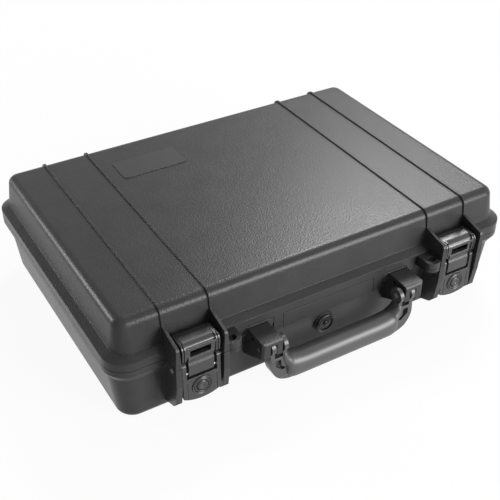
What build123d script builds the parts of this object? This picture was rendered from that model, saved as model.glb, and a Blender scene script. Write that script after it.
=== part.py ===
from build123d import *
import os
from math import atan2, degrees, radians, tan

# A hard case for a laptop, lying flat: latches and handle in front (-Y), hinges behind (+Y).
# Millimetres, +Z up, origin at the middle of the underside.

# ---- overall body -------------------------------------------------------------------------
rim_half_x = 211.0            # half the width over the rim bands
rim_half_y = 145.0            # half the depth over the rim bands
rim_corner = 22.0             # plan radius of the rim corners
part_z = 64.2                 # height of the parting plane
part_gap = 0.6                # daylight between the two rims
case_height = 107.5           # top face of the lid
wall = 4.0                    # shell thickness

# ---- base tray ----------------------------------------------------------------------------
base_band_z = 58.0            # lower edge of the upright rim band
base_slope_z = 50.0           # where the sloping underside of the rim meets the wall
base_inset = 5.0              # the wall stands this far inside the rim
base_draft = 6.0              # degrees
floor_thickness = 5.0
base_wall_corner = 21.0       # plan radius of the tray's corners, blunter than the rim's
base_foot_radius = 7.5        # rounding between wall and underside
tongue_inset = 3.5            # rim edge to the middle of the sealing tongue
tongue_width = 2.4
tongue_height = 3.3

# ---- lid shell ----------------------------------------------------------------------------
lid_band_z = 72.4             # upper edge of the lid's rim band
lid_foot_z = 76.0             # top of the sloping rim shoulder, where the lid wall starts
lid_inset = 8.0               # the lid wall stands this far inside the rim
lid_draft = 8.0               # degrees
lid_top_radius = 8.5
groove_width = 3.8
groove_depth = 6.0
seal_width = 3.4
seal_height = 3.0

# ---- ribs, fins and latch bays ------------------------------------------------------------
bay_from_end = 73.25          # end of the case to the middle of each latch bay
fin_pitch = 44.5              # between the two fins of a bay
fin_thickness = 5.5
fin_tip_thickness = 2.2       # the lid fin thins to this at its top edge
fin_reach = 17.8              # how far the fins stand out in front of the rim
fin_top_z = 91.5              # where the lid fin leaves the lid wall
fin_nose_z = 85.7             # the lid fin's outer corner
fin_foot_z = 19.0             # the base fin's lowest front point
fin_root_z = 9.0              # the base fin's lowest point at the wall
rib_width = 2.0
rib_height = 1.5

# ---- locating tabs of the lid, let into the base on both sides of each handle bracket ------
tab_thickness = 1.8
tab_gap = 0.4
panel_half_x = 48.8           # half the width of the base panel behind the handle
panel_foot_z = 48.0
lug_width = 9.7               # tab inboard of each bracket
lug_foot_z = 48.0
apron_width = 10.0            # tab outboard of each bracket
apron_gap = 11.0              # outboard side of the bracket to the apron's far edge
apron_foot_z = 57.0

# ---- handle brackets ----------------------------------------------------------------------
bracket_inner_x = 66.0
bracket_outer_x = 86.0
bracket_reach = 26.5          # in front of the rim
bracket_top_z = 63.4
bracket_foot_z = 44.0
bracket_root_z = 29.0
bracket_corner = 3.5          # rounding of the outer front edge
handle_pin_reach = 19.5       # in front of the rim
handle_pin_z = 52.3
handle_pin_radius = 2.5
slot_width = 6.5              # slot in the bracket for the handle's outer ear
outer_prong = 8.0

# ---- handle -------------------------------------------------------------------------------
ear_radius = 7.7
ear_thickness = 4.0
inner_ear_thickness = 4.0
arm_half_depth = 5.0
elbow_half_depth = 5.4
elbow_foot_half_depth = 4.2
ear_clearance = 1.6
grip_drop = 29.8              # pin to the middle of the grip
grip_half_length = 51.0
grip_height = 24.0
grip_depth = 21.0
grip_end_chamfer = 2.5
bar_height = 15.0
elbow_radius = 24.0           # outer rounding of the handle's corners
crook_radius = 9.0            # inner rounding between the grip and the inner ear
web_drop = 11.8               # pin to the top of the web below the bracket's prong
web_height = 3.0
pocket_wall = 3.0             # left between the pockets in the handle's corners

# ---- padlock eyes -------------------------------------------------------------------------
eye_from_fin = 8.5            # eye to the middle of the nearest fin
eye_reach = 10.6              # in front of the rim
eye_radius = 8.5
eye_bore_radius = 4.0
base_eye_thickness = 3.2
lid_eye_thickness = 6.4

# ---- hinges -------------------------------------------------------------------------------
hinge_reach = 8.5             # behind the rim
knuckle_radius = 6.0
hinge_pin_radius = 2.0
hinge_width = 62.0
knuckle_count = 5
knuckle_gap = 0.4

# ---- latches ------------------------------------------------------------------------------
face_reach = 14.5             # outer face of the latch, in front of the rim
pivot_reach = 9.2             # pivot of the lever in the base fins
pivot_z = 58.2
pivot_pin_radius = 2.0
lever_ear_radius = 6.3
lever_half_width = 17.9
arm_thickness = 3.7
lever_top_z = 46.4            # top edge of the lever's panel
lever_foot_z = 20.8
lever_foot_rise = 4.5         # the foot edge curves up this much at its corners
lever_plate = 3.7
hook_pin_reach = 11.0         # pivot of the hook in the lever
hook_pin_z = 50.5
hook_pin_radius = 1.5
hook_knuckle_radius = 3.2
hook_half_width = 17.5
tongue_half_width = 11.8
shoulder_z = 67.0             # the hook is narrower below this
tongue_foot_z = 51.7
hook_plate = 3.2
hook_back_reach = 2.0
hook_top_z = 84.6
hook_crown = 7.0              # rounding where the face turns into the top
hook_arch = 1.8               # how much the cap's top falls away to its sides
lip_inset = 3.3               # the hook's lip ends this far behind the rim's face
lip_gap = 0.3
catch_z = 80.2                # top of the catch on the lid
catch_reach = 1.0
catch_margin = 4.0            # the catch is this much wider than the tongue on each side
rail_height = 1.2
rail_width = 1.4
rail_groove = 0.9             # between the two rails of a pair
window_z = 73.5
window_width = 19.4
window_height = 7.5
brow_height = 2.8             # bar over the window
tongue_groove = 0.9           # depth of the groove across the tongue

# ---- vent valve ---------------------------------------------------------------------------
valve_z = 29.0
valve_flange_radius = 9.5
valve_shank_radius = 5.0
valve_bore_radius = 3.2
boss_radius = 11.0
boss_height = 2.2
valve_nut_radius = 8.0
valve_slot_length = 2.4

# ---- nameplate (bare) ---------------------------------------------------------------------
plate_x = -67.5
plate_y = 80.0
plate_length = 68.0
plate_width = 34.0
plate_thickness = 1.2
plate_recess = 0.5
plate_corner = 4.0

# ---- foam ---------------------------------------------------------------------------------
foam_gap = 0.5
pad_thickness = 12.5
foam_side = 27.0              # foam between the tray's end walls and the laptop's recess
foam_front = 22.0             # the same, in front and behind
laptop_corner = 2.0
base_foam_top = 62.0
lid_foam_bottom = 65.5
foam_ridge_height = 9.0
foam_ridge_pitch = 24.0
foam_channel_width = 15.0

# ---- shared clearances --------------------------------------------------------------------
running_fit = 0.05            # radial, pins that turn
seat_fit = 0.02               # radial, pins that are driven in

# ---- worked-out places --------------------------------------------------------------------
base_top_z = part_z - part_gap / 2
lid_bottom_z = part_z + part_gap / 2
base_wall_x = rim_half_x - base_inset
base_wall_y = rim_half_y - base_inset
bay_x = rim_half_x - bay_from_end
fin_front = rim_half_y + fin_reach
bracket_front = rim_half_y + bracket_reach
handle_pin_y = rim_half_y + handle_pin_reach
eye_x = bay_x - fin_pitch / 2 - eye_from_fin
eye_y = rim_half_y + eye_reach
hinge_y = rim_half_y + hinge_reach
face_y = rim_half_y + face_reach
pivot_y = rim_half_y + pivot_reach
hook_pin_y = rim_half_y + hook_pin_reach
hook_back_y = rim_half_y + hook_back_reach
lip_end_y = rim_half_y - lip_inset
catch_front = rim_half_y + catch_reach
laptop_length = 2 * (base_wall_x - wall - foam_side)
laptop_depth = 2 * (base_wall_y - wall - foam_front)
lid_wall_x = rim_half_x - lid_inset
lid_wall_y = rim_half_y - lid_inset
lid_wall_corner = rim_corner - lid_inset
fin_places = [side * bay_x + step * fin_pitch / 2 for side in (-1, 1) for step in (-1, 1)]
sides = {"left": -1, "right": 1}


def base_wall_at(height):
    """Half depth of the base's outer wall at a height."""
    return base_wall_y - (base_slope_z - height) * tan(radians(base_draft))


def lid_wall_at(height):
    """Half depth of the lid's outer wall at a height."""
    return lid_wall_y - (height - lid_foot_z) * tan(radians(lid_draft))


def facing_down(height):
    """A plane at a height that looks down, for profiles that taper towards the floor."""
    return Plane(origin=(0, 0, height), x_dir=(1, 0, 0), z_dir=(0, 0, -1))


def side_plane(x):
    """A plane across the case at x: its first axis is Y, its second is Z."""
    return Plane.YZ.offset(x)


def front_plane(distance):
    """A plane parallel to the front, this far in front of the middle: X and Z."""
    return Plane.XZ.offset(distance)


# ===========================================================================================
# base shell
# ===========================================================================================
def base_fin_outline():
    """Side outline of a base fin, front at the left, with its rounded foot."""
    points = [
        (-rim_half_y + base_inset, base_top_z),
        (-fin_front, base_top_z),
        (-fin_front + 0.6, base_slope_z - 6),
        (-fin_front + 3.6, fin_foot_z + 4),
        (-fin_front + 8.5, fin_foot_z - 1.5),
        (-base_wall_at(fin_root_z) + wall / 2, fin_root_z),
        (-base_wall_at(base_slope_z) + wall / 2, base_slope_z),
    ]
    Polygon(*points, align=None)


def bracket_outline():
    """Side outline of a handle bracket."""
    points = [
        (-base_wall_y + wall / 2, bracket_top_z),
        (-bracket_front + 1.5, bracket_top_z),
        (-bracket_front, bracket_top_z - 2.0),
        (-bracket_front + 0.8, bracket_foot_z + 2),
        (-bracket_front + 3.0, bracket_foot_z),
        (-bracket_front + 6.0, bracket_foot_z - 0.8),
        (-base_wall_at(bracket_root_z) + wall / 2, bracket_root_z),
    ]
    Polygon(*points, align=None)


def locating_tabs(gap):
    """The lid's tabs seen from the front; gap widens them for the seats in the base."""
    for foot, outer, width in (
        (lug_foot_z, panel_half_x + 0.3 + lug_width, lug_width),
        (apron_foot_z, bracket_outer_x + apron_gap, apron_width),
    ):
        height = lid_bottom_z + 0.5 - foot + gap
        for side in (-1, 1):
            with Locations((side * (outer - width / 2), foot - gap + height / 2)):
                Rectangle(width + 2 * gap, height)


def eye_outline(side):
    """Plan of a padlock eye, rounded at its free end and rooted in the rim and the fin."""
    fin_middle = bay_x - fin_pitch / 2
    root_y = rim_half_y - 1.0
    with Locations((side * eye_x, -eye_y)):
        Circle(eye_radius)
    with Locations((side * (eye_x + fin_middle) / 2, -(eye_y + 2.0 + root_y) / 2)):
        Rectangle(fin_middle - eye_x, eye_y + 2.0 - root_y)
    with Locations((side * eye_x, -(eye_y + root_y) / 2)):
        Rectangle(2 * eye_radius, eye_y - root_y)


def padlock_eye_part(side, bottom, thickness, shell):
    """One padlock eye, fitted against the rim and the fin of its shell."""
    with BuildPart() as eye:
        with BuildSketch(Plane.XY.offset(bottom)):
            eye_outline(side)
        extrude(amount=thickness)
        add(shell, mode=Mode.SUBTRACT)
        with BuildSketch(Plane.XY.offset(bottom - 1)):
            with Locations((side * eye_x, -eye_y)):
                Circle(eye_bore_radius)
        extrude(amount=thickness + 2, mode=Mode.SUBTRACT)
    return eye.part


def knuckle_spans(lid):
    """Start and end of each hinge knuckle, measured from the middle of the hinge."""
    pitch = hinge_width / knuckle_count
    picks = range(1, knuckle_count, 2) if lid else range(0, knuckle_count, 2)
    return [(-hinge_width / 2 + i * pitch + knuckle_gap / 2,
             -hinge_width / 2 + (i + 1) * pitch - knuckle_gap / 2) for i in picks]


with BuildPart() as base_shell:
    with BuildSketch(facing_down(base_slope_z)):
        RectangleRounded(2 * base_wall_x, 2 * base_wall_y, base_wall_corner)
    extrude(amount=base_slope_z, taper=base_draft)
    fillet(base_shell.edges().group_by(Axis.Z)[0], base_foot_radius)
    with BuildSketch(facing_down(base_band_z)):
        RectangleRounded(2 * rim_half_x, 2 * rim_half_y, rim_corner)
    slope_height = base_band_z - base_slope_z
    extrude(amount=slope_height, taper=degrees(atan2(base_inset, slope_height)))
    with BuildSketch(Plane.XY.offset(base_band_z)):
        RectangleRounded(2 * rim_half_x, 2 * rim_half_y, rim_corner)
    extrude(amount=base_top_z - base_band_z)

    # fins of the two latch bays
    for x in fin_places:
        with BuildSketch(side_plane(x - fin_thickness / 2)):
            base_fin_outline()
        extrude(amount=fin_thickness)

    # handle brackets
    for side in (-1, 1):
        middle = side * (bracket_inner_x + bracket_outer_x) / 2
        with BuildSketch(side_plane(middle - (bracket_outer_x - bracket_inner_x) / 2)):
            bracket_outline()
        extrude(amount=bracket_outer_x - bracket_inner_x)
        corner = side * (bracket_outer_x - bracket_corner)
        with BuildSketch(Plane.XY.offset(bracket_root_z)):
            with Locations((side * bracket_outer_x, -bracket_front)):
                Rectangle(2 * bracket_corner, 2 * bracket_corner)
            with Locations((corner, -bracket_front + bracket_corner)):
                Circle(bracket_corner, mode=Mode.SUBTRACT)
        extrude(amount=base_top_z - bracket_root_z, mode=Mode.SUBTRACT)

    # panel behind the handle, flush with the rim band
    with BuildSketch(front_plane(base_wall_y - wall / 2)):
        with Locations((0, (base_top_z + panel_foot_z) / 2)):
            Rectangle(2 * panel_half_x, base_top_z - panel_foot_z)
    extrude(amount=rim_half_y - base_wall_y + wall / 2)

    # boss round the vent valve
    with BuildSketch(front_plane(base_wall_at(valve_z) - wall / 2)):
        with Locations((0, valve_z)):
            Circle(boss_radius)
    extrude(amount=wall / 2 + boss_height)

    # hinge knuckles with their webs down the back wall
    for side in (-1, 1):
        for start, end in knuckle_spans(lid=False):
            with BuildSketch(side_plane(side * bay_x + start)):
                with Locations((hinge_y, part_z)):
                    Circle(knuckle_radius)
                with BuildLine():
                    Polyline(
                        (base_wall_y - wall / 2, base_top_z),
                        (hinge_y, base_top_z),
                        (hinge_y + knuckle_radius * 0.94, part_z - knuckle_radius * 0.34),
                        (hinge_y + 1.0, part_z - knuckle_radius - 6.0),
                        (base_wall_at(38.0) - wall / 2, 38.0),
                        close=True,
                    )
                make_face()
            extrude(amount=end - start)

    # the hollow of the tray
    with BuildSketch(facing_down(base_slope_z)):
        RectangleRounded(2 * (base_wall_x - wall), 2 * (base_wall_y - wall), base_wall_corner - wall)
    extrude(amount=base_slope_z - floor_thickness, taper=base_draft, mode=Mode.SUBTRACT)
    with BuildSketch(Plane.XY.offset(base_slope_z)):
        RectangleRounded(2 * (base_wall_x - wall), 2 * (base_wall_y - wall), base_wall_corner - wall)
    extrude(amount=base_top_z + 20 - base_slope_z, mode=Mode.SUBTRACT)

    # inner boss face for the valve nut
    with BuildSketch(front_plane(base_wall_at(valve_z) - wall - 2.0)):
        with Locations((0, valve_z)):
            Circle(boss_radius)
    extrude(amount=wall)

    # seats of the lid's tabs
    with BuildSketch(front_plane(rim_half_y - tab_thickness - tab_gap)):
        locating_tabs(tab_gap)
    extrude(amount=tab_thickness + tab_gap + 0.2, mode=Mode.SUBTRACT)

    # sealing tongue round the rim
    with BuildSketch(Plane.XY.offset(base_top_z)):
        for grow, mode in ((tongue_width / 2, Mode.ADD), (-tongue_width / 2, Mode.SUBTRACT)):
            RectangleRounded(
                2 * (rim_half_x - tongue_inset + grow),
                2 * (rim_half_y - tongue_inset + grow),
                rim_corner - tongue_inset + grow,
                mode=mode,
            )
    extrude(amount=tongue_height)

    # slots in the brackets for the handle's outer ears
    for side in (-1, 1):
        slot_middle = side * (bracket_outer_x - outer_prong - slot_width / 2)
        pocket_radius = ear_radius + 1.5
        with BuildSketch(side_plane(slot_middle - slot_width / 2)):
            with Locations((-handle_pin_y, handle_pin_z)):
                Circle(pocket_radius)
            lip = handle_pin_z + (pocket_radius ** 2 - (bracket_front - handle_pin_y) ** 2) ** 0.5
            with BuildLine():
                Polyline(
                    (-bracket_front - 1, lip),
                    (-handle_pin_y, lip),
                    (-handle_pin_y + pocket_radius, handle_pin_z),
                    (-handle_pin_y + pocket_radius, bracket_root_z - 4),
                    (-bracket_front - 1, bracket_root_z - 4),
                    close=True,
                )
            make_face()
        extrude(amount=slot_width, mode=Mode.SUBTRACT)

    # bores: handle pins, latch pivots, hinge pins, valve
    with BuildSketch(side_plane(-bracket_outer_x - 1)):
        with Locations((-handle_pin_y, handle_pin_z)):
            Circle(handle_pin_radius + seat_fit)
    extrude(amount=2 * bracket_outer_x + 2, mode=Mode.SUBTRACT)
    with BuildSketch(side_plane(-bay_x - fin_pitch)):
        with Locations((-pivot_y, pivot_z)):
            Circle(pivot_pin_radius + seat_fit)
    extrude(amount=2 * (bay_x + fin_pitch), mode=Mode.SUBTRACT)
    with BuildSketch(side_plane(-bay_x - hinge_width)):
        with Locations((hinge_y, part_z)):
            Circle(hinge_pin_radius + seat_fit)
    extrude(amount=2 * (bay_x + hinge_width), mode=Mode.SUBTRACT)
    with BuildSketch(front_plane(base_wall_at(valve_z) - 20)):
        with Locations((0, valve_z)):
            Circle(valve_shank_radius + seat_fit)
    extrude(amount=40, mode=Mode.SUBTRACT)
base_shell.part.label = "base_shell"


# ===========================================================================================
# lid shell
# ===========================================================================================
with BuildPart() as lid_shell:
    with BuildSketch(Plane.XY.offset(lid_bottom_z)):
        RectangleRounded(2 * rim_half_x, 2 * rim_half_y, rim_corner)
    extrude(amount=lid_band_z - lid_bottom_z)
    with BuildSketch(Plane.XY.offset(lid_band_z)):
        RectangleRounded(2 * rim_half_x, 2 * rim_half_y, rim_corner)
    shoulder = lid_foot_z - lid_band_z
    extrude(amount=shoulder, taper=degrees(atan2(lid_inset, shoulder)))
    with BuildSketch(Plane.XY.offset(lid_foot_z)):
        RectangleRounded(2 * lid_wall_x, 2 * lid_wall_y, lid_wall_corner)
    extrude(amount=case_height - lid_foot_z, taper=lid_draft)
    fillet(lid_shell.edges().group_by(Axis.Z)[-1], lid_top_radius)

    # thin ribs over the lid, in line with the fins
    for x in fin_places:
        with BuildSketch(side_plane(x - rib_width / 2)) as rib:
            top_half = lid_wall_at(case_height) + rib_height
            foot_half = lid_wall_y + rib_height
            with BuildLine():
                Polyline(
                    (-foot_half, lid_foot_z - 1),
                    (-top_half, case_height + rib_height),
                    (top_half, case_height + rib_height),
                    (foot_half, lid_foot_z - 1),
                    close=True,
                )
            make_face()
            fillet(rib.vertices().group_by(Axis.Y)[-1], lid_top_radius)
        extrude(amount=rib_width)

    # catches for the hooks
    for side in (-1, 1):
        catch_half = tongue_half_width + catch_margin
        with BuildSketch(side_plane(side * bay_x - catch_half)):
            with BuildLine():
                Polyline(
                    (-lid_wall_y + wall, catch_z),
                    (-catch_front + 1.5, catch_z),
                    (-catch_front, catch_z - 1.5),
                    (-catch_front, catch_z - 4.5),
                    (-rim_half_y + 0.2, lid_band_z),
                    (-rim_half_y + 0.2, lid_band_z - 4),
                    (-lid_wall_y + wall, lid_band_z - 4),
                    close=True,
                )
            make_face()
        extrude(amount=2 * catch_half)

    # hinge knuckles
    for side in (-1, 1):
        for start, end in knuckle_spans(lid=True):
            with BuildSketch(side_plane(side * bay_x + start)):
                with Locations((hinge_y, part_z)):
                    Circle(knuckle_radius)
                with BuildLine():
                    Polyline(
                        (rim_half_y - wall, lid_bottom_z),
                        (hinge_y, lid_bottom_z),
                        (hinge_y + knuckle_radius * 0.7, part_z + knuckle_radius * 0.714),
                        (rim_half_y - wall, lid_band_z + 2.5),
                        close=True,
                    )
                make_face()
            extrude(amount=end - start)

    # the hollow of the lid
    with BuildSketch(Plane.XY.offset(lid_bottom_z - 1)):
        RectangleRounded(2 * (lid_wall_x - wall), 2 * (lid_wall_y - wall), lid_wall_corner - wall)
    extrude(amount=lid_foot_z - lid_bottom_z + 1, mode=Mode.SUBTRACT)
    with BuildSketch(Plane.XY.offset(lid_foot_z)):
        RectangleRounded(2 * (lid_wall_x - wall), 2 * (lid_wall_y - wall), lid_wall_corner - wall)
    extrude(amount=case_height - wall - lid_foot_z, taper=lid_draft, mode=Mode.SUBTRACT)

    # locating tabs
    with BuildSketch(front_plane(rim_half_y - tab_thickness)):
        locating_tabs(0)
    extrude(amount=tab_thickness)

    # seal groove
    with BuildSketch(Plane.XY.offset(lid_bottom_z)):
        for grow, mode in ((groove_width / 2, Mode.ADD), (-groove_width / 2, Mode.SUBTRACT)):
            RectangleRounded(
                2 * (rim_half_x - tongue_inset + grow),
                2 * (rim_half_y - tongue_inset + grow),
                rim_corner - tongue_inset + grow,
                mode=mode,
            )
    extrude(amount=groove_depth, mode=Mode.SUBTRACT)

    # bores and the shallow seat of the nameplate
    with BuildSketch(side_plane(-bay_x - hinge_width)):
        with Locations((hinge_y, part_z)):
            Circle(hinge_pin_radius + running_fit)
    extrude(amount=2 * (bay_x + hinge_width), mode=Mode.SUBTRACT)
    with BuildSketch(Plane.XY.offset(case_height - plate_recess)):
        with Locations((plate_x, plate_y)):
            RectangleRounded(plate_length + 0.4, plate_width + 0.4, plate_corner)
    extrude(amount=plate_recess + 1, mode=Mode.SUBTRACT)

# upright fins, thinned towards the top: a side outline cut by a front-view wedge
lid_fins = []
for x in fin_places:
    with BuildPart() as lid_fin:
        with BuildSketch(side_plane(x - fin_thickness / 2)):
            with BuildLine():
                Polyline(
                    (-lid_wall_at(fin_top_z) + wall / 2, fin_top_z),
                    (-lid_wall_at(fin_top_z) - 1, fin_top_z),
                    (-fin_front + 1.5, fin_nose_z),
                    (-fin_front + 0.3, fin_nose_z - 2.5),
                    (-fin_front, lid_bottom_z),
                    (-rim_half_y + 1, lid_bottom_z),
                    (-rim_half_y + 1, lid_band_z - 1),
                    (-lid_wall_y + wall / 2, lid_foot_z - 1),
                    close=True,
                )
            make_face()
        extrude(amount=fin_thickness)
        with BuildSketch(front_plane(lid_wall_y - 20)):
            with BuildLine():
                Polyline(
                    (x - fin_thickness / 2, lid_bottom_z - 1),
                    (x + fin_thickness / 2, lid_bottom_z - 1),
                    (x + fin_tip_thickness / 2, fin_top_z + 1),
                    (x - fin_tip_thickness / 2, fin_top_z + 1),
                    close=True,
                )
            make_face()
        extrude(amount=fin_front, mode=Mode.INTERSECT)
    lid_fins.append(lid_fin.part)
with BuildPart() as lid_complete:
    add(lid_shell.part)
    for fin in lid_fins:
        add(fin)
lid_complete.part.label = "lid_shell"


# ===========================================================================================
# seal, nameplate and foam
# ===========================================================================================
with BuildPart() as lid_seal:
    with BuildSketch(Plane.XY.offset(lid_bottom_z + groove_depth - seal_height)):
        for grow, mode in ((seal_width / 2, Mode.ADD), (-seal_width / 2, Mode.SUBTRACT)):
            RectangleRounded(
                2 * (rim_half_x - tongue_inset + grow),
                2 * (rim_half_y - tongue_inset + grow),
                rim_corner - tongue_inset + grow,
                mode=mode,
            )
    extrude(amount=seal_height)
lid_seal.part.label = "lid_seal"

with BuildPart() as nameplate:
    with BuildSketch(Plane.XY.offset(case_height - plate_recess)):
        with Locations((plate_x, plate_y)):
            RectangleRounded(plate_length, plate_width, plate_corner - 0.2)
    extrude(amount=plate_thickness)
    chamfer(nameplate.edges().group_by(Axis.Z)[-1], 0.3)
nameplate.part.label = "nameplate"

pad_top = floor_thickness + pad_thickness
inner_x = base_wall_x - wall - foam_gap
inner_y = base_wall_y - wall - foam_gap
inner_corner = base_wall_corner - wall - foam_gap


def tray_inset(height):
    """How far the draft has drawn the tray's inner wall in at a height."""
    return (base_slope_z - height) * tan(radians(base_draft))


def tray_block(top, bottom):
    """A block that fills the tapered tray between two heights."""
    inset = tray_inset(top)
    with BuildPart() as block:
        with BuildSketch(facing_down(top)):
            RectangleRounded(2 * (inner_x - inset), 2 * (inner_y - inset), inner_corner - inset)
        extrude(amount=top - bottom, taper=base_draft)
    return block.part


with BuildPart() as base_pad:
    add(tray_block(pad_top, floor_thickness))
base_pad.part.label = "base_pad"

with BuildPart() as base_foam:
    add(tray_block(base_slope_z, pad_top))
    with BuildSketch(Plane.XY.offset(base_slope_z)):
        RectangleRounded(2 * inner_x, 2 * inner_y, inner_corner)
    extrude(amount=base_foam_top - base_slope_z)
    with BuildSketch(Plane.XY.offset(pad_top)):
        RectangleRounded(laptop_length, laptop_depth, laptop_corner)
    extrude(amount=base_foam_top, mode=Mode.SUBTRACT)
    # room for the nut of the valve
    with BuildSketch(front_plane(laptop_depth / 2 + 4)):
        with Locations((0, valve_z)):
            Circle(boss_radius + 1)
    extrude(amount=40, mode=Mode.SUBTRACT)
base_foam.part.label = "base_foam"

with BuildPart() as lid_foam:
    with BuildSketch(Plane.XY.offset(lid_foot_z)):
        RectangleRounded(
            2 * (lid_wall_x - wall - foam_gap),
            2 * (lid_wall_y - wall - foam_gap),
            lid_wall_corner - wall - foam_gap,
        )
    extrude(amount=case_height - wall - lid_foot_z, taper=lid_draft)
    with BuildSketch(facing_down(lid_foot_z)):
        RectangleRounded(
            2 * (lid_wall_x - wall - foam_gap),
            2 * (lid_wall_y - wall - foam_gap),
            lid_wall_corner - wall - foam_gap,
        )
    extrude(amount=lid_foot_z - lid_foam_bottom)
    # channels between the ridges on the underside
    ridge_count = int(2 * (lid_wall_x - wall) / foam_ridge_pitch) - 1
    with BuildSketch(front_plane(-lid_wall_y)):
        for i in range(ridge_count):
            with Locations(((i - (ridge_count - 1) / 2) * foam_ridge_pitch, lid_foam_bottom)):
                Trapezoid(foam_channel_width, 2 * foam_ridge_height, 70)
    extrude(amount=2 * lid_wall_y, mode=Mode.SUBTRACT)
lid_foam.part.label = "lid_foam"


# ===========================================================================================
# vent valve
# ===========================================================================================
boss_face = base_wall_at(valve_z) + boss_height
boss_back = base_wall_at(valve_z) - wall - 2.0
flange_thickness = 2.6
seal_depth = 1.2

with BuildPart() as valve_body:
    with BuildSketch(front_plane(boss_face)):
        with Locations((0, valve_z)):
            Circle(valve_flange_radius)
    extrude(amount=flange_thickness)
    chamfer(valve_body.edges().group_by(Axis.Y)[0], 0.8)
    with BuildSketch(front_plane(boss_back - 7)):
        with Locations((0, valve_z)):
            Circle(valve_shank_radius)
    extrude(amount=boss_face - boss_back + 7)
    # dished face, breather bore and the ring seat behind the flange
    with BuildSketch(front_plane(boss_face + flange_thickness - 1.0)):
        with Locations((0, valve_z)):
            Circle(valve_flange_radius - 2.6)
    extrude(amount=2, mode=Mode.SUBTRACT)
    with BuildSketch(front_plane(boss_back - 8)):
        with Locations((0, valve_z)):
            Circle(valve_bore_radius)
    extrude(amount=boss_face - boss_back + 8, mode=Mode.SUBTRACT)
    with BuildSketch(front_plane(boss_face)):
        with Locations((0, valve_z)):
            Circle(valve_shank_radius + 2.2)
            Circle(valve_shank_radius, mode=Mode.SUBTRACT)
    extrude(amount=seal_depth, mode=Mode.SUBTRACT)
    with BuildSketch(front_plane(boss_face - 1)):
        with Locations((0, valve_z)):
            with PolarLocations(valve_bore_radius - valve_slot_length / 2, 3):
                Rectangle(valve_slot_length, 1.0)
    extrude(amount=8, mode=Mode.SUBTRACT)
valve_body.part.label = "valve_body"

with BuildPart() as valve_seal:
    with BuildSketch(front_plane(boss_face)):
        with Locations((0, valve_z)):
            Circle(valve_shank_radius + 2.1)
            Circle(valve_shank_radius + 0.1, mode=Mode.SUBTRACT)
    extrude(amount=seal_depth)
valve_seal.part.label = "valve_seal"

with BuildPart() as valve_membrane:
    with BuildSketch(front_plane(boss_face - 0.8)):
        with Locations((0, valve_z)):
            Circle(valve_bore_radius)
    extrude(amount=0.8)
valve_membrane.part.label = "valve_membrane"

with BuildPart() as valve_nut:
    with BuildSketch(front_plane(boss_back - 4.5)):
        with Locations((0, valve_z)):
            RegularPolygon(valve_nut_radius, 6)
            Circle(valve_shank_radius + seat_fit, mode=Mode.SUBTRACT)
    extrude(amount=4.5)
valve_nut.part.label = "valve_nut"


# ===========================================================================================
# hinge pins, handle and its pins
# ===========================================================================================
def hinge_pin_part(side):
    with BuildPart() as pin:
        with BuildSketch(side_plane(side * bay_x - hinge_width / 2)):
            with Locations((hinge_y, part_z)):
                Circle(hinge_pin_radius)
        extrude(amount=hinge_width)
    return pin.part


def handle_pin_part(side):
    start = bracket_inner_x - inner_ear_thickness - ear_clearance
    end = bracket_outer_x - 0.5
    with BuildPart() as pin:
        with BuildSketch(side_plane(side * (start + end) / 2 - (end - start) / 2)):
            with Locations((-handle_pin_y, handle_pin_z)):
                Circle(handle_pin_radius)
        extrude(amount=end - start)
    return pin.part


slot_outer_x = bracket_outer_x - outer_prong
slot_inner_x = slot_outer_x - slot_width
ear_middle = (slot_outer_x + slot_inner_x) / 2
ear_outer_x = ear_middle + ear_thickness / 2
ear_inner_x = ear_middle - ear_thickness / 2
inner_ear_outer_x = bracket_inner_x - ear_clearance
inner_ear_inner_x = inner_ear_outer_x - inner_ear_thickness
grip_z = handle_pin_z - grip_drop
grip_top = grip_z + grip_height / 2
grip_bottom = grip_z - grip_height / 2
web_top = handle_pin_z - web_drop
web_foot = web_top - web_height

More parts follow.
